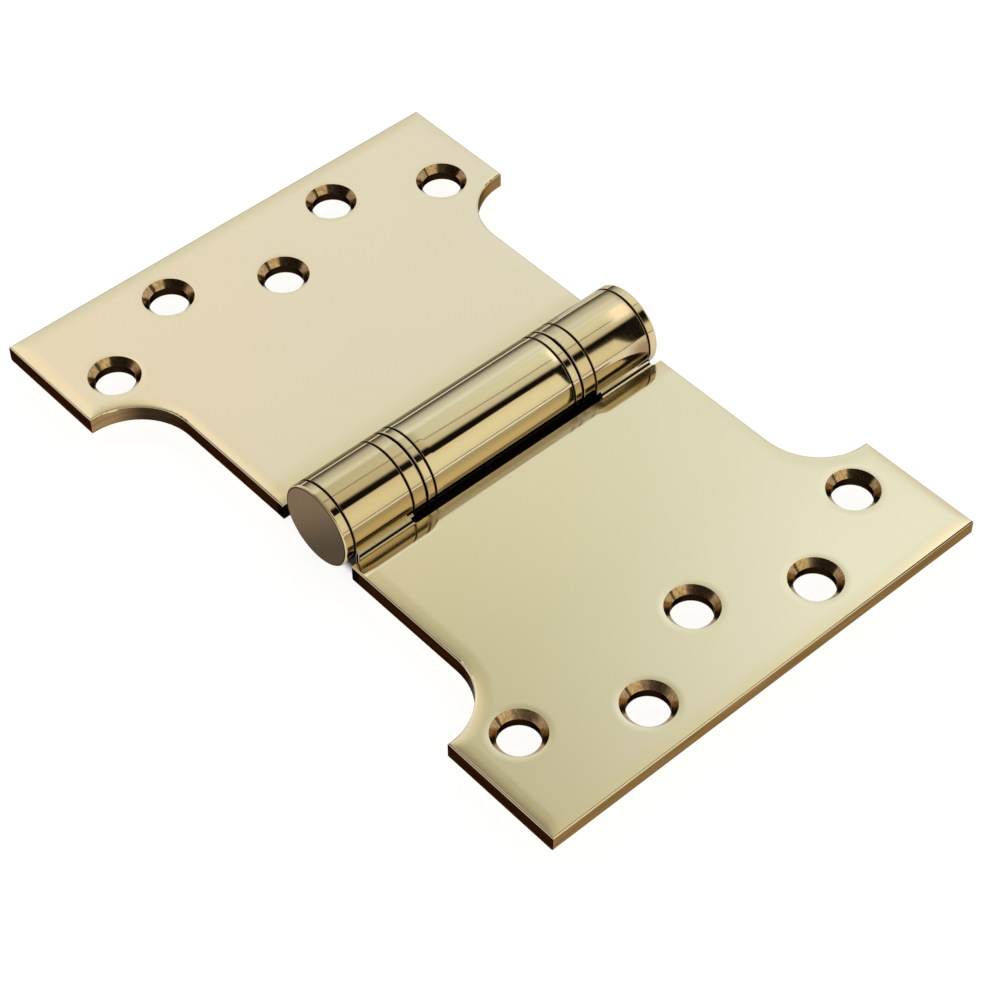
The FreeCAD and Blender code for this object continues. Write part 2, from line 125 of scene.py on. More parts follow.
def mix(tree, mask, under, over):
    """Mix two colours: the second shows where the mask is 1."""
    return add(tree, "ShaderNodeMix", {0: mask, 6: under, 7: over}, data_type="RGBA").outputs[2]


def blend(tree, mask, under, over):
    """Mix two numbers: the second counts where the mask is 1."""
    return add(tree, "ShaderNodeMix", {0: mask, 2: under, 3: over}).outputs[0]


def scale(tree, colour, factor):
    """Make a colour lighter or darker by a factor."""
    return add(tree, "ShaderNodeVectorMath", {0: colour, "Scale": factor},
               operation="SCALE").outputs[0]


# %% [markdown]
# ## The camera
#
# The photograph was taken from the near end of the barrel, over the right-hand leaf,
# with a long lens. Where the camera stood was worked out from the edges of the
# leaves, the ten countersinks and the barrel, so it is written here as a place, a
# point that it looks at, a lens and a very slight tilt. A long lens keeps the leaves
# from spreading, which is how a catalogue shows hardware.

# %% Camera
CAMERA_PLACE = Vector((260.93, -226.54, 373.13)) * MM
CAMERA_AIM = Vector((15.5, -8.17, 5.75)) * MM
CAMERA_LENS = 98.72
CAMERA_SENSOR = 36.0
CAMERA_TILT = math.radians(0.43867)
CLIP_START = 10 * MM

forward = (CAMERA_AIM - CAMERA_PLACE).normalized()
level_right = forward.cross(Vector((0, 0, 1))).normalized()
level_down = forward.cross(level_right)
right = math.cos(CAMERA_TILT) * level_right + math.sin(CAMERA_TILT) * level_down
down = -math.sin(CAMERA_TILT) * level_right + math.cos(CAMERA_TILT) * level_down

camera_data = bpy.data.cameras.new("camera")
camera_data.lens = CAMERA_LENS
camera_data.sensor_width = CAMERA_SENSOR
camera_data.clip_start = CLIP_START
camera = bpy.data.objects.new("camera", camera_data)
turn = Matrix((right, -down, -forward)).transposed()
camera.matrix_world = Matrix.Translation(CAMERA_PLACE) @ turn.to_4x4()
bpy.context.scene.collection.objects.link(camera)
bpy.context.scene.camera = camera
print("camera distance:", round((CAMERA_AIM - CAMERA_PLACE).length / MM), "mm")

# %% [markdown]
# ## The floor
#
# The hinge lies on a plain white sweep of paper. It could be a curved backdrop, but
# from this height the camera sees nothing except floor, so one large flat sheet does
# the same work and also stays plain from every other side. It is matt, so that it
# takes the soft shadow under the leaves. Part of its white comes from the paper, and
# the rest is a glow that only the camera, reflections and glass can see, so that the
# background reads as white while no extra light falls on the brass.
#
# Under the barrel hardly any light comes in, and the slot beside the middle knuckle
# has to look black. So the glow goes out and a painted shadow darkens the paper inside
# a rectangle with a soft border. It lies a little to the right of the barrel's axis,
# where it fills that slot and stays clear of the paper that shows past the barrel on
# the left.

# %% Floor
FLOOR_HALF = 3.0
PAPER_WHITE = "#949494"
PAINTED_SHADOW_PAPER = "#262422"
PAPER_GLOW = 0.86
SHADED_MIDDLE = 1.75 * MM
SHADED_HALF_WIDTH = (10.75 * MM, 7.75 * MM)
SHADED_HALF_LENGTH = (37 * MM, 34 * MM)

floor_mesh = bpy.data.meshes.new("paper_floor")
corners = [(-FLOOR_HALF, -FLOOR_HALF, 0), (FLOOR_HALF, -FLOOR_HALF, 0),
           (FLOOR_HALF, FLOOR_HALF, 0), (-FLOOR_HALF, FLOOR_HALF, 0)]
floor_mesh.from_pydata(corners, [], [(0, 1, 2, 3)])
floor = bpy.data.objects.new("paper_floor", floor_mesh)
bpy.context.scene.collection.objects.link(floor)

paper, tree, output = new_material("matt_white_paper")
rays = add(tree, "ShaderNodeLightPath")
seen = combine(tree, rays.outputs["Is Camera Ray"], rays.outputs["Is Glossy Ray"], "MAXIMUM")
seen = combine(tree, seen, rays.outputs["Is Transmission Ray"], "MAXIMUM")
place = add(tree, "ShaderNodeTexCoord").outputs["Object"]
side, along, _ = add(tree, "ShaderNodeSeparateXYZ", {0: place}).outputs
# painted shadow: in a rectangle under the barrel the paper is darkened and its glow goes out
painted_shadow = overlap(tree, ease(tree, apart(tree, side, SHADED_MIDDLE), *SHADED_HALF_WIDTH),
                 ease(tree, apart(tree, along, 0.0), *SHADED_HALF_LENGTH))
glowing = ease(tree, painted_shadow, 0.0, 1.0, PAPER_GLOW, 0.0)
matt = add(tree, "ShaderNodeBsdfDiffuse",
           {"Color": mix(tree, painted_shadow, linear(PAPER_WHITE), linear(PAINTED_SHADOW_PAPER))})
glow = add(tree, "ShaderNodeEmission", {"Strength": combine(tree, seen, glowing)})
both = add(tree, "ShaderNodeAddShader", {0: matt.outputs[0], 1: glow.outputs[0]})
tree.links.new(both.outputs[0], output.inputs["Surface"])
floor_mesh.materials.append(paper)
print("floor:", 2 * FLOOR_HALF, "m of", paper.name)

# %% [markdown]
# ## The studio
#
# Polished brass is a mirror, and what a barrel shows is a strip of everything around
# it, from the right-hand side of the room over the ceiling to the left. The stops
# below are that strip. Each one is an angle, from 0 at the right-hand horizon through
# 90 overhead to 180 at the left, and the colour of the soft panel there. The side
# panels run the whole length of the room. The ceiling has one strip for light from
# nearer the middle of the room and one for light from further back. At both horizons
# the strip goes dark, where the paper ends.

# %% Panel strips
RIGHT_PANELS = [
    (0, "#2A2724"), (1.0, "#2A2724"), (2.2, "#DCD9C2"), (8, "#E0DEC7"), (17, "#E4E3CB"),
    (33, "#E3E1CA"), (40, "#DED9C2"), (46, "#DBD6BF"), (50, "#D3CEB8")]
NEAR_CEILING = [
    (66, "#B5AB93"), (78, "#BCB297"), (98, "#BDBCA1"), (110, "#BBBBA6"), (117.5, "#B4B5A4"),
    (121, "#B8BDAA"), (124, "#D1D0BA"), (127, "#DEE2E1"), (132, "#E6E8E8"), (137, "#DEE2DF"),
    (142, "#D2DAD4")]
FAR_CEILING = [
    (66, "#CECEBD"), (78, "#D9DDD2"), (98, "#E8EFE6"), (110, "#E5EDE6"), (117.5, "#E9F6FA"),
    (121, "#E1EDED"), (124, "#DCE8E7"), (127, "#DEE7EA"), (132, "#E1E9F1"), (137, "#D9E0DE"),
    (142, "#D1D7D0")]
LEFT_PANELS = [
    (150, "#C7CECA"), (158, "#B9BFBE"), (166, "#909393"), (174, "#5A5A55"), (180, "#453F36")]
STRIP_STRENGTH = 1.30
NEAR_TO_FAR = (0.36, 0.52)

world = bpy.data.worlds.new("soft_studio")
world.use_nodes = True
bpy.context.scene.world = world
tree = world.node_tree
tree.nodes.clear()
direction = add(tree, "ShaderNodeSeparateXYZ",
                {0: add(tree, "ShaderNodeTexCoord").outputs["Generated"]})
across, depth, up = direction.outputs
angle = combine(tree, combine(tree, up, across, "ARCTAN2"), math.radians(1), "DIVIDE")
half_turn = combine(tree, angle, 180.0, "DIVIDE")


def strip(stops):
    """Make a colour ramp from angles in degrees, read by the direction of the light."""
    ramp = add(tree, "ShaderNodeValToRGB", {0: half_turn})
    elements = ramp.color_ramp.elements
    while len(elements) < len(stops):
        elements.new(0.5)
    for element, (degrees, colour) in zip(elements, stops):
        element.position = degrees / 180
        element.color = linear(colour)
    return ramp.outputs["Color"]


near_stops = RIGHT_PANELS + NEAR_CEILING + LEFT_PANELS
far_stops = RIGHT_PANELS + FAR_CEILING + LEFT_PANELS
strips = mix(tree, slide(tree, depth, *NEAR_TO_FAR), strip(near_stops), strip(far_stops))
room = scale(tree, strips, STRIP_STRENGTH)
print("studio:", len(near_stops) + len(far_stops), "panel stops")

# %% [markdown]
# ## Cards, flags and the soft box
#
# A few things hang in front of the panels. Each is a region of directions with soft
# borders, laid over the room one after another, which keeps every card a separate
# thing that can be moved. A border across the room is an angle in degrees, as above.
# A border along it is a depth: how far the direction points along the barrel, from -1
# at the wall in front to 1 at the wall behind the hinge.
#
# Nearer the camera the panels stop. There is a bright card on the left and a dim flag
# on the right, and the leaves show them where their edges are rounded over. The flag
# ends before the middle of the room, so that the leaves still look like brass from
# straight above. A narrow seam between two panels runs along the top of the barrel as
# a thin line. Behind the hinge stands a soft box in front of a plainer wall.

# %% Card, flag, seam and soft box
BRIGHT_CARD, CARD_ANGLE, CARD_DEPTH = "#F2EFE6", (121, 127), (0.36, 0.26)
DIM_FLAG, FLAG_ANGLE, FLAG_DEPTH = "#95907C", ((66, 78), (124, 118)), ((0.04, 0.12), (0.35, 0.23))
SEAM_ANGLE, SEAM_HALF_WIDTH, SEAM_DEPTH = 94, (2.4, 0.6), (0.24, 0.32)
SEAM_SHADE = 0.45
SEAM_LEAN = (0.400, 0.475, 0, 12)
BACK_WALL, WALL_DEPTH = (0.86, 0.86, 0.82, 1.0), (0.60, 0.68)
SOFT_BOX = (1.50, 1.48, 1.38, 1.0)
BOX_ANGLE, BOX_DEPTH = ((66, 80), (116, 104)), ((0.515, 0.555), (0.66, 0.61))


def hang(room, mask, colour):
    """Lay one panel over the room wherever its mask is 1."""
    return mix(tree, mask, room, colour)


bright = overlap(tree, ease(tree, depth, *CARD_DEPTH), ease(tree, angle, *CARD_ANGLE))
room = hang(room, bright, scale(tree, linear(BRIGHT_CARD)[:3], STRIP_STRENGTH))
dim = overlap(tree, within(tree, depth, *FLAG_DEPTH), within(tree, angle, *FLAG_ANGLE))
room = hang(room, dim, linear(DIM_FLAG))

leaned = combine(tree, angle, ease(tree, depth, *SEAM_LEAN), "ADD")
seam = overlap(tree, ease(tree, apart(tree, leaned, SEAM_ANGLE), *SEAM_HALF_WIDTH),
               ease(tree, depth, *SEAM_DEPTH))
room = scale(tree, room, ease(tree, seam, 0.0, 1.0, 1.0, SEAM_SHADE))

room = hang(room, ease(tree, depth, *WALL_DEPTH), BACK_WALL)
box = overlap(tree, within(tree, depth, *BOX_DEPTH), within(tree, angle, *BOX_ANGLE))
room = hang(room, box, SOFT_BOX)
print("hung: bright card, dim flag, seam, back wall, soft box")

# %% [markdown]
# ## The black card and the dark place
#
# A long black card on the right gives the barrel its crisp stripe. The card leans in
# three bends, so the stripe comes lower on the far end and swells where the knuckle is
# rounded over. Its upper edge is softer than the lower one and comes down a little
# towards the back. The wall in front is pale and plain, and in it is one more dark
# region, the place where the photographer stands, which the countersinks show as
# black. It is kept small, so that the leaves mirror mostly wall from behind.

# %% Black card and dark place
CARD_BLACK = "#17130F"
STRIPE_BENDS = [(0.405, 0.440, -2.8, 0), (0.465, 0.497, 0, 7), (0.488, 0.560, 0, 40)]
STRIPE_LOWER = (46, 49)
STRIPE_TOP = (0.405, 0.495, 69, 61.5)
STRIPE_UPPER = (4.5, -4.5)
STRIPE_DEPTH = ((0.24, 0.32), (0.67, 0.62))
FRONT_WALL, FRONT_DEPTH = "#CBC9C4", (-0.20, -0.27)
DARK_DEPTH, DARK_UP, DARK_ACROSS = (-0.24, -0.29), (0.74, 0.66), (-0.62, -0.54)
DARK_SLANT, DARK_FOOT = 0.15, (0.385, 0.415)

leaned = angle
for bend in STRIPE_BENDS:
    leaned = combine(tree, leaned, ease(tree, depth, *bend), "ADD")
below_top = combine(tree, angle, slide(tree, depth, *STRIPE_TOP), "SUBTRACT")
stripe = overlap(tree, ease(tree, leaned, *STRIPE_LOWER), ease(tree, below_top, *STRIPE_UPPER),
                 within(tree, depth, *STRIPE_DEPTH))
room = hang(room, stripe, linear(CARD_BLACK))

room = hang(room, ease(tree, depth, *FRONT_DEPTH), linear(FRONT_WALL))
above_foot = combine(tree, up, combine(tree, across, DARK_SLANT), "SUBTRACT")
dark_place = overlap(tree, ease(tree, depth, *DARK_DEPTH), ease(tree, up, *DARK_UP),
                     ease(tree, across, *DARK_ACROSS), ease(tree, above_foot, *DARK_FOOT))
room = hang(room, dark_place, linear(CARD_BLACK))
shell = add(tree, "ShaderNodeBackground", {"Color": room, "Strength": 1.0})
tree.links.new(shell.outputs[0], add(tree, "ShaderNodeOutputWorld").inputs["Surface"])
print("hung: black card, front wall, dark place")

# %% [markdown]
# ## Brass, and what buffing does to it
#
# The leaves are drawn from brass bar, milled, and then buffed on a wheel. Buffing
# leaves a face that is not quite flat, so reflections wander a little, very fine
# lines along the way the wheel ran, and here and there a slightly duller patch. It
# also rounds a face over wherever it comes to an edge or a hole. That last one is
# written as a distance: how far the point is from the edge, and how much height has
# gone by then. All of these are heights in metres that are added up and given to one
# Bump node. Modelled rounding would be truer in silhouette, but it is about a quarter
# of a millimetre at most, and only the reflections show it.
#
# The barrel is painted a little yellower than the leaves, the end knuckles most, as a
# painted warm reflection. Where two of its pieces meet, a mask along the barrel's axis
# draws a dark line in the groove, partly polish and dirt that stay there and partly
# painted shade. The places of these lines also serve as names for the ends of the
# pieces.

# %% Shared brass recipe
LEAF_BRASS = "#E3D3B3"
MIDDLE_BRASS_PAINTED_WARM = "#DECDA9"
END_BRASS_PAINTED_WARM = "#D7C39D"
BRASS_RIM = "#CCCCCC"
BRASS_ROUGHNESS = (0.03, 0.07)
PATCH_SIZE, PATCH_RANGE = 22 * MM, (0.35, 0.65)
WANDER_SIZE, WANDER_HEIGHT = 14 * MM, 0.010 * MM
BUFF_SPACING, BUFF_HEIGHT = 0.35 * MM, 0.0002 * MM
MIDDLE_END, RUNNING_GAP, KNUCKLE_START, KNUCKLE_END = BARREL_LINES = [
    17.0 * MM, 19.05 * MM, 22.3 * MM, 36.0 * MM]
LINE_HALF_WIDTH = (0.38 * MM, 0.152 * MM)
DIRT_AND_SHADE_LINE_COLOUR = "#140D07"
BARREL_SIDE = (8.6 * MM, 8.342 * MM)


def noise(tree, place, size, stretch=(1, 1, 1), detail=2.0):
    """Read a noise texture whose patches are about as long as size, in metres."""
    scaled = add(tree, "ShaderNodeMapping",
                 {"Vector": place, "Scale": [s / size for s in stretch]})
    return add(tree, "ShaderNodeTexNoise",
               {"Vector": scaled.outputs[0], "Scale": 1.0, "Detail": detail}).outputs["Fac"]


def start_brass(name, buff_stretch):
    """Start a buffed brass material and return the parts that a finish builds on."""
    material, tree, output = new_material(name)
    coordinates = add(tree, "ShaderNodeTexCoord")
    place = coordinates.outputs["Object"]
    x, y, z = add(tree, "ShaderNodeSeparateXYZ", {0: place}).outputs
    _, ny, nz = add(tree, "ShaderNodeSeparateXYZ", {0: coordinates.outputs["Normal"]}).outputs
    away = {axis: combine(tree, value, 0.0, "ABSOLUTE")
            for axis, value in (("x", x), ("y", y), ("ny", ny), ("nz", nz))}
    on_barrel = ease(tree, away["x"], *BARREL_SIDE)
    lines = 0.0
    for line in BARREL_LINES:
        mark = ease(tree, apart(tree, away["y"], line), *LINE_HALF_WIDTH)
        lines = combine(tree, lines, mark, "MAXIMUM")
    past_middle = ease(tree, away["y"], MIDDLE_END, RUNNING_GAP)
    # painted reflection: the barrel's brass is tinted yellower than the leaves, most on the end
    # knuckles
    barrel = mix(tree, past_middle, linear(MIDDLE_BRASS_PAINTED_WARM), linear(END_BRASS_PAINTED_WARM))
    colour = mix(tree, on_barrel, linear(LEAF_BRASS), barrel)
    # dark lines in the grooves between barrel pieces: partly polish and dirt, partly painted shade
    colour = mix(tree, combine(tree, lines, on_barrel), colour, linear(DIRT_AND_SHADE_LINE_COLOUR))
    wander = combine(tree, noise(tree, place, WANDER_SIZE), WANDER_HEIGHT)
    buffed = combine(tree, noise(tree, place, BUFF_SPACING, buff_stretch, detail=3.0), BUFF_HEIGHT)
    patches = noise(tree, place, PATCH_SIZE, detail=4.0)
    return dict(material=material, tree=tree, output=output, place=place, away=away,
                x=x, y=y, z=z, on_barrel=on_barrel, colour=colour, rim=linear(BRASS_RIM),
                roughness=ease(tree, patches, *PATCH_RANGE, *BRASS_ROUGHNESS),
                height=combine(tree, wander, buffed, "ADD"))


# %% [markdown]
# ## Building a finish on the brass
#
# Each finish starts from that recipe and then goes through a few moves: another finish
# laid over part of it, an edge rounded over, and at the end one metal shader. The
# rounding follows a parabola, which takes nothing away where it starts and most at the
# edge, so that no line shows where it begins.

# %% Moves of a finish
ROUNDING_POWER = 2.0


def lay_over(brass, mask, colour, roughness):
    """Cover the brass with another finish wherever the mask is 1."""
    tree = brass["tree"]
    brass["colour"] = mix(tree, mask, brass["colour"], colour)
    brass["roughness"] = blend(tree, mask, brass["roughness"], roughness)


def round_over(brass, distance, reach, drop, mask=1.0):
    """Take height away where the distance to an edge falls below reach."""
    tree = brass["tree"]
    nearness = slide(tree, distance, reach, 0.0)
    lost = combine(tree, combine(tree, nearness, ROUNDING_POWER, "POWER"), drop)
    brass["height"] = combine(tree, brass["height"], combine(tree, lost, mask), "SUBTRACT")


def put_on(material, *nodes):
    """Put one material in every slot of the named nodes."""
    for node in nodes:
        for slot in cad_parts[node].material_slots:
            slot.material = material
    print(material.name, "->", ", ".join(nodes))


def give(brass, *nodes):
    """Close the material and put it on the named nodes."""
    tree = brass["tree"]
    bump = add(tree, "ShaderNodeBump",
               {"Height": brass["height"], "Distance": 1.0, "Strength": 1.0})
    shader = add(tree, "ShaderNodeBsdfPrincipled",
                 {"Metallic": 1.0, "Specular Tint": brass["rim"], "Normal": bump.outputs[0],
                  "Base Color": brass["colour"], "Roughness": brass["roughness"]})
    tree.links.new(shader.outputs[0], brass["output"].inputs["Surface"])
    put_on(brass["material"], *nodes)


# %% [markdown]
# ## The leaves
#
# Only the broad faces of a leaf are polished to a mirror. The ends and the necks are
# milled, the long outer edges keep the grain of the drawn bar, and both are only
# lacquered, so they are softly lined beside the bright face and stay duller at a
# grazing angle too. Their brown is partly that duller finish and partly painted shade,
# darker than the brass would look. The mask is the surface's own direction: a wall that
# stands upright away from the barrel is a cut edge. The narrow walls beside the barrel
# never see a cloth, and their near black is painted shade. Fine lines lie along each
# edge, so their noise is stretched sideways and tight in height. A cutter's lines are
# about 0.05 mm apart, which is finer than a pixel, so they are drawn at 0.3 mm.

# %% Leaf finish
LEAF_BUFFING = (1, 0.06, 1)
MILLED_AND_PAINTED_SHADE_COLOUR = "#3C3022"
DRAWN_EDGE_AND_PAINTED_SHADE_COLOUR = "#9C7E58"
PAINTED_SHADE_BLACK = "#1D1610"
CUT_RIM = "#A69D94"
EDGE_ROUGHNESS = 0.34
CUT_LINE_SPACING, CUT_LINE_STRETCH = 0.30 * MM, (0.02, 0.02, 1)
CUT_LINE_RANGE, CUT_LINE_SHADES = (0.3, 0.7), (0.78, 1.18)
STANDS_UPRIGHT, LIES_FLAT, FACES_ALONG = (0.55, 0.25), (0.25, 0.55), (0.25, 0.75)
OFF_BARREL = (8.5 * MM, 9.2 * MM)
SLOT_WALLS = (11.5 * MM, 11.0 * MM)

leaf = start_brass("buffed_drawn_brass", LEAF_BUFFING)
tree, away = leaf["tree"], leaf["away"]
off_barrel = ease(tree, away["x"], *OFF_BARREL)
cut = overlap(tree, ease(tree, away["nz"], *STANDS_UPRIGHT), off_barrel)
on_face = overlap(tree, off_barrel, ease(tree, away["nz"], *LIES_FLAT))
cut_lines = noise(tree, leaf["place"], CUT_LINE_SPACING, CUT_LINE_STRETCH)
# cut edges: their brown is partly a duller finish, partly painted shade
edge_colour_and_shade = mix(tree, ease(tree, away["ny"], *FACES_ALONG),
            linear(DRAWN_EDGE_AND_PAINTED_SHADE_COLOUR), linear(MILLED_AND_PAINTED_SHADE_COLOUR))
edge_colour_and_shade = scale(tree, edge_colour_and_shade, ease(tree, cut_lines, *CUT_LINE_RANGE, *CUT_LINE_SHADES))
beside_barrel = ease(tree, away["x"], *SLOT_WALLS)
# slot walls beside the barrel: painted near-black shade
lay_over(leaf, cut, mix(tree, beside_barrel, edge_colour_and_shade, linear(PAINTED_SHADE_BLACK)), EDGE_ROUGHNESS)
leaf["rim"] = mix(tree, cut, linear(BRASS_RIM), linear(CUT_RIM))

# %% [markdown]
# ## Edges rounded over by the wheel
#
# The distance from the edge comes from the leaf's own drawing. The long side and the
# ends are straight, and the notch is a round corner that runs on as the straight side
# of the neck. The smallest of the three distances counts, with a soft change from one
# to the next so that the corners are rounded over evenly. Each screw hole is a circle
# with a narrow rounding of its own.

# %% Rounded edges
LEAF_END, LEAF_SIDE = 51.0 * MM, 76.0 * MM
NOTCH_X, NOTCH_Y, NOTCH_RADIUS = 37.5 * MM, 50.5 * MM, 12.5 * MM
SINK_RADIUS = 5.1 * MM
HOLE_PLACES = [(56.4 * MM, 0.0), (66.5 * MM, 20.35 * MM), (56.4 * MM, 40.7 * MM)]
EDGE_REACH, EDGE_DROP, CORNER_BLEND = 3.4 * MM, 0.15 * MM, 2.0 * MM
HOLE_RIM_REACH, HOLE_RIM_DROP = 1.3 * MM, 0.04 * MM


def length(tree, a, b):
    """Length of the vector whose two sides are given."""
    squares = combine(tree, combine(tree, a, a), combine(tree, b, b), "ADD")
    return combine(tree, squares, 0.5, "POWER")


past_neck = combine(tree, combine(tree, away["x"], NOTCH_X, "SUBTRACT"), 0.0, "MAXIMUM")
below_end = combine(tree, combine(tree, NOTCH_Y, away["y"], "SUBTRACT"), 0.0, "MAXIMUM")
to_edge = combine(tree, length(tree, past_neck, below_end), NOTCH_RADIUS, "SUBTRACT")
for straight, axis in ((LEAF_SIDE, "x"), (LEAF_END, "y")):
    to_straight = combine(tree, straight, away[axis], "SUBTRACT")
    to_edge = add(tree, "ShaderNodeMath", {0: to_edge, 1: to_straight, 2: CORNER_BLEND},
                  operation="SMOOTH_MIN").outputs[0]
round_over(leaf, to_edge, EDGE_REACH, EDGE_DROP, off_barrel)

for hole_x, hole_y in HOLE_PLACES:
    to_hole = length(tree, combine(tree, away["x"], hole_x, "SUBTRACT"),
                     combine(tree, away["y"], hole_y, "SUBTRACT"))
    to_rim = combine(tree, to_hole, SINK_RADIUS, "SUBTRACT")
    round_over(leaf, to_rim, HOLE_RIM_REACH, HOLE_RIM_DROP)
print("rounded over: leaf edges and", 2 * len(HOLE_PLACES) - 1, "screw holes a leaf")

# %% [markdown]
# ## The ends of the knuckles
#
# The middle knuckle is rounded over at both of its ends, and the far end knuckle much
# more, towards its cap. The near end stays crisp. The far end is also painted darker
# with a brown painted shade, low on its flank and in a band beside the cap, and is
# duller there.

# %% Knuckle ends
KNUCKLE_REACH, KNUCKLE_DROP = 2.2 * MM, 0.07 * MM
OUTER_REACH, OUTER_DROP = 7.0 * MM, 0.20 * MM
FLANK_Y, FLANK_SHARE = (29.5 * MM, 34.0 * MM), 0.8
FLANK_TOP, FLANK_FOOT = (13.2 * MM, 10.5 * MM), (7.0 * MM, 8.8 * MM)
CAP_BAND_Y = (34.3 * MM, 37.5 * MM)
PAINTED_SHADE_BROWN, SHADE_PATCH_ROUGHNESS = "#8E6E4B", 0.14

on_middle = overlap(tree, leaf["on_barrel"], ease(tree, away["y"], RUNNING_GAP, MIDDLE_END))
on_far = overlap(tree, leaf["on_barrel"], ease(tree, leaf["y"], RUNNING_GAP, KNUCKLE_START))
to_middle_end = combine(tree, MIDDLE_END, away["y"], "SUBTRACT")
to_outer_end = combine(tree, KNUCKLE_END, away["y"], "SUBTRACT")
round_over(leaf, to_middle_end, KNUCKLE_REACH, KNUCKLE_DROP, on_middle)
round_over(leaf, to_outer_end, OUTER_REACH, OUTER_DROP, on_far)

# painted shade: brown low on the far knuckle's flank and in a band beside its cap
low_flank = overlap(tree, ease(tree, leaf["y"], *FLANK_Y), ease(tree, leaf["z"], *FLANK_FOOT),
                    ease(tree, leaf["z"], *FLANK_TOP, 0.0, FLANK_SHARE))
painted_shade_patch = combine(tree, low_flank, ease(tree, leaf["y"], *CAP_BAND_Y), "MAXIMUM")
lay_over(leaf, overlap(tree, on_far, painted_shade_patch), linear(PAINTED_SHADE_BROWN), SHADE_PATCH_ROUGHNESS)
print("rounded over: middle knuckle and far end knuckle")

# %% [markdown]
# ## The roots and slots beside the barrel
#
# A wheel can't reach into the corner between leaf and barrel. On the right-hand leaf
# it digs in beside the two end knuckles and leaves a shallow hollow along their roots.
# Where a leaf ends in a slot beside the other leaf's knuckle, the edge of that slot is
# rounded over. Close to the barrel both leaves are duller, and all but the edge beside
# the middle knuckle's slot is painted slightly yellower, a painted reflection of the
# brass barrel. In the corner itself a dark line is drawn, partly dried polish and
# partly painted shade.

# %% Roots and slots
SIDES_MEET = (-1 * MM, 1 * MM)
ROOT_START, ROOT_FOOT, ROOT_CURVE, ROOT_DROP = 13.3 * MM, 8.8 * MM, 1.3, 0.26 * MM
SLOT_EDGE, SLOT_REACH, SLOT_DROP = 9.6 * MM, 1.2 * MM, 0.05 * MM
PAINTED_BARREL_REFLECTION_COLOUR, LEFT_REFLECTION_REACH, RIGHT_REFLECTION_REACH = "#DACAA3", (17.0 * MM, 12.0 * MM), (13.8 * MM, 12.0 * MM)
UNREACHED = (11.8 * MM, 10.6 * MM)
ROOT_ROUGHNESS, SLOT_ROUGHNESS = 0.17, 0.30
ROOT_LINE, ROOT_LINE_HALF_WIDTH = 9.0 * MM, (0.30 * MM, 0.12 * MM)

on_right = ease(tree, leaf["x"], *SIDES_MEET)
at_ends = ease(tree, away["y"], RUNNING_GAP, KNUCKLE_START)
right_root = overlap(tree, on_right, at_ends)
in_slot = blend(tree, on_right, at_ends, opposite(tree, at_ends))
into_root = combine(tree, slide(tree, away["x"], ROOT_START, ROOT_FOOT), ROOT_CURVE, "POWER")
hollow = combine(tree, into_root, combine(tree, right_root, ROOT_DROP))
leaf["height"] = combine(tree, leaf["height"], combine(tree, hollow, off_barrel), "SUBTRACT")
to_slot = combine(tree, away["x"], SLOT_EDGE, "SUBTRACT")
round_over(leaf, to_slot, SLOT_REACH, SLOT_DROP, overlap(tree, in_slot, off_barrel))

# painted reflection: the leaves are tinted yellower near the barrel
left_painted_reflection = overlap(tree, ease(tree, away["x"], *LEFT_REFLECTION_REACH), opposite(tree, on_right))
right_painted_reflection = overlap(tree, ease(tree, away["x"], *RIGHT_REFLECTION_REACH), right_root)
painted_reflection = overlap(tree, combine(tree, left_painted_reflection, right_painted_reflection, "ADD"), on_face)
leaf["colour"] = mix(tree, painted_reflection, leaf["colour"], linear(PAINTED_BARREL_REFLECTION_COLOUR))
unreached = overlap(tree, on_face, ease(tree, away["x"], *UNREACHED))
dulled = blend(tree, in_slot, ROOT_ROUGHNESS, SLOT_ROUGHNESS)
lay_over(leaf, unreached, leaf["colour"], dulled)
# dark line in the root corner: partly dried polish, partly painted shade
root_dirt_and_shade_line = ease(tree, apart(tree, away["x"], ROOT_LINE), *ROOT_LINE_HALF_WIDTH)
lay_over(leaf, root_dirt_and_shade_line, linear(DIRT_AND_SHADE_LINE_COLOUR), ROOT_ROUGHNESS)
print("dulled: roots and slots beside the barrel")

# %% [markdown]
# ## The countersinks
#
# A countersink is bored after the face is polished, so it stays as the cutter left
# it: brass with short streaks that run down the cone. The bore below keeps the
# cutter's dull finish and is painted near black as shade in the hole. The holes lie in
# the broad foot of each leaf, and everything there that isn't flat is a countersink, so
# the same direction mask finds them. Real streaks are 0.05 mm apart and are drawn at
# 0.5 mm, because finer ones fall between the pixels.

# %% Countersink finish
FOOT_X = ((50.9 * MM, 51.1 * MM), (72.7 * MM, 72.5 * MM))
FOOT_Y = (47.2 * MM, 47.0 * MM)
SLOPED, BORED = (0.97, 0.85), (0.45, 0.25)
SINK_COLOUR, SINK_ROUGHNESS = "#CBA87B", 0.15
BORE_AND_PAINTED_SHADE_COLOUR = "#241A10"
STREAK_SPACING, STREAK_STRETCH = 0.5 * MM, (1, 1, 0.08)
STREAK_RANGE, STREAK_SHADES = (0.35, 0.65), (0.6, 1.0)

in_foot = overlap(tree, within(tree, away["x"], *FOOT_X), ease(tree, away["y"], *FOOT_Y))
sloped = overlap(tree, in_foot, ease(tree, away["nz"], *SLOPED))
bored = overlap(tree, in_foot, ease(tree, away["nz"], *BORED))
streaks = noise(tree, leaf["place"], STREAK_SPACING, STREAK_STRETCH, detail=3.0)
streaked = scale(tree, linear(SINK_COLOUR)[:3],
                 ease(tree, streaks, *STREAK_RANGE, *STREAK_SHADES))
lay_over(leaf, sloped, streaked, SINK_ROUGHNESS)
# bore: dull cutter finish, painted near black as shade in the hole
lay_over(leaf, bored, linear(BORE_AND_PAINTED_SHADE_COLOUR), EDGE_ROUGHNESS)
give(leaf, "leaf_a", "leaf_b")

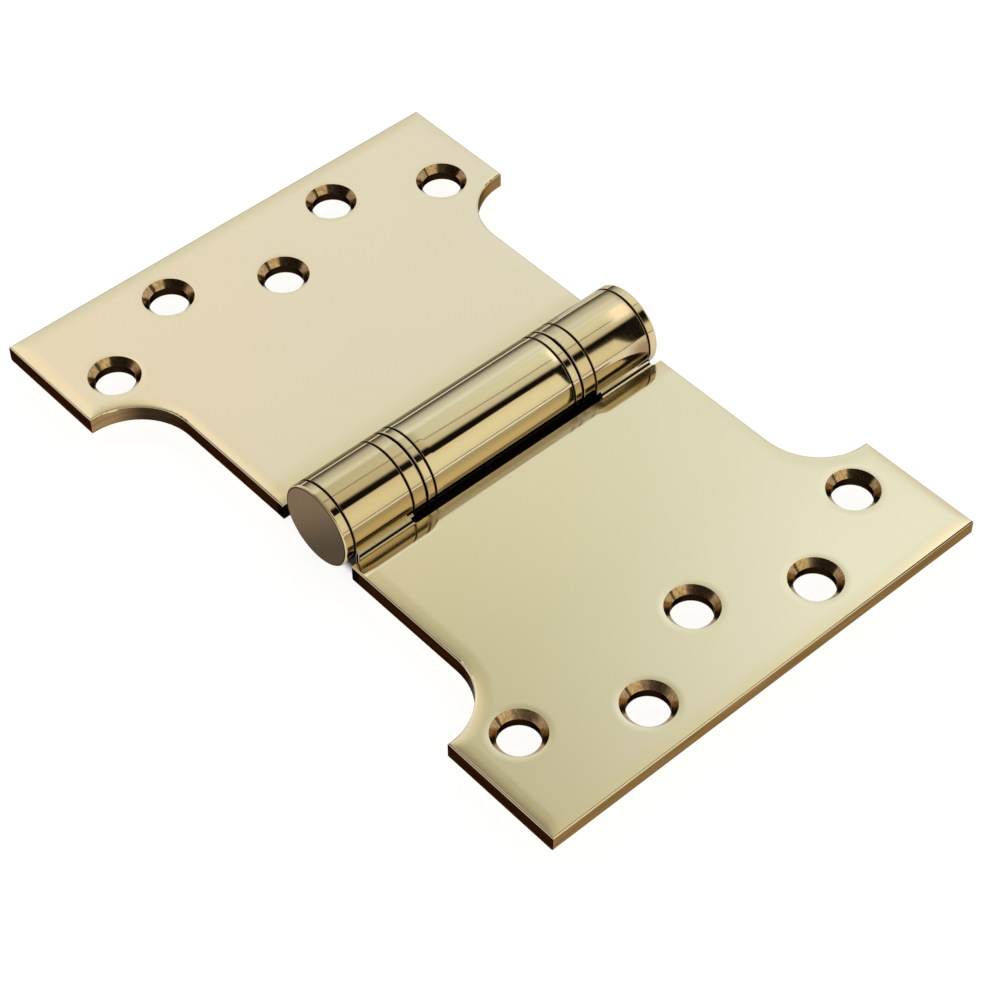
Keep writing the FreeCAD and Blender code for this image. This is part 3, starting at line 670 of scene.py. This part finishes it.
# %% [markdown]
# ## The turned pieces of the barrel
#
# The cups, the covers and the two end caps are turned on a lathe and buffed with the
# leaves. The round sides are bright, and the flat end of each cap keeps the tool's
# rings under a satin finish whose dark brown is partly painted shade. The rings are a
# wave of the distance from the barrel's axis. A real facing cut leaves rings 0.1 mm
# apart, drawn here at 0.4 mm so that a few can be seen. The face is painted darker
# towards one side as a shade gradient, and a near-black ring of painted shade lies at
# its rim.

# %% Turned finish
TURNED_BUFFING = (0.3, 1, 0.3)
AXIS_HEIGHT = 8.35 * MM
FACES_OUT, CAP_FACE_Y = (0.80, 0.95), (37.7 * MM, 38.0 * MM)
CAP_RADIUS, CAP_RIM = 7.75 * MM, (7.75 * MM, 7.95 * MM)
SATIN_AND_PAINTED_SHADE_COLOUR, SATIN_ROUGHNESS = "#866F53", 0.38
PAINTED_SHADE_LOW = 0.40
RING_SPACING, RING_SHADES = 0.4 * MM, (0.95, 1.05)
BOTH_SIDES = ("near", "far")

turned_brass = start_brass("buffed_turned_brass", TURNED_BUFFING)
tree, away = turned_brass["tree"], turned_brass["away"]
height = combine(tree, turned_brass["z"], AXIS_HEIGHT, "SUBTRACT")
radius = length(tree, turned_brass["x"], height)
rings = combine(tree, combine(tree, radius, 2 * math.pi / RING_SPACING), 0.0, "SINE")
faced = overlap(tree, ease(tree, away["ny"], *FACES_OUT), ease(tree, away["y"], *CAP_FACE_Y))
across_face = combine(tree, height, turned_brass["x"], "SUBTRACT")
# painted shade: the cap face is darker towards one side
painted_shade_gradient = ease(tree, across_face, -CAP_RADIUS, CAP_RADIUS, PAINTED_SHADE_LOW, 1.0)
ringed = ease(tree, rings, -1.0, 1.0, *RING_SHADES)
satin_and_shade = scale(tree, linear(SATIN_AND_PAINTED_SHADE_COLOUR)[:3], combine(tree, painted_shade_gradient, ringed))
# painted shade: a near-black ring at the rim of the cap face
satin_and_shade = mix(tree, ease(tree, radius, *CAP_RIM), satin_and_shade, linear(PAINTED_SHADE_BLACK))
lay_over(turned_brass, faced, satin_and_shade, SATIN_ROUGHNESS)
give(turned_brass, *[f"{piece}_{side}" for piece in ("cap", "bearing_cup", "bearing_cover")
                     for side in BOTH_SIDES])

# %% [markdown]
# ## The bearing inside
#
# The races and the pin are ground steel, the balls are polished chrome steel and the
# cage is pressed from thin brass. None of it can be seen while the hinge is shut up
# in its barrel, but a finish is given all the same, because these pieces are part of
# the model and someone may take it apart.

# %% Bearing finishes
GRAIN_RANGE = (0.3, 0.7)


def plain_metal(name, colour, roughness, grain, stretch, height):
    """Make a metal with one noise for its grain, in roughness and in height."""
    material, tree, output = new_material(name)
    place = add(tree, "ShaderNodeTexCoord").outputs["Object"]
    pattern = noise(tree, place, grain, stretch, detail=3.0)
    bump = add(tree, "ShaderNodeBump", {"Height": pattern, "Distance": height, "Strength": 1.0})
    shader = add(tree, "ShaderNodeBsdfPrincipled",
                 {"Metallic": 1.0, "Base Color": linear(colour), "Normal": bump.outputs[0],
                  "Roughness": ease(tree, pattern, *GRAIN_RANGE, *roughness)})
    tree.links.new(shader.outputs[0], output.inputs["Surface"])
    return material


ground_steel = plain_metal("ground_steel", "#C4C6C8", roughness=(0.16, 0.28),
                           grain=0.4 * MM, stretch=(1, 0.2, 1), height=0.002 * MM)
chrome_steel = plain_metal("polished_chrome_steel", "#D6D8DA", roughness=(0.05, 0.10),
                           grain=1.2 * MM, stretch=(1, 1, 1), height=0.0004 * MM)
pressed_brass = plain_metal("pressed_brass", "#D9BE7C", roughness=(0.22, 0.34),
                            grain=0.5 * MM, stretch=(1, 1, 1), height=0.003 * MM)
put_on(ground_steel, "hinge_pin",
       *[f"{race}_race_{side}" for race in ("inner", "outer") for side in BOTH_SIDES])
put_on(chrome_steel, *[f"bearing_balls_{side}" for side in BOTH_SIDES])
put_on(pressed_brass, *[f"ball_cage_{side}" for side in BOTH_SIDES])

# %% [markdown]
# ## Colour management
#
# The Standard view shows a colour as it is written, so the brass can be matched to
# the photograph by its numbers.

# %% Finish
bpy.context.scene.view_settings.view_transform = "Standard"
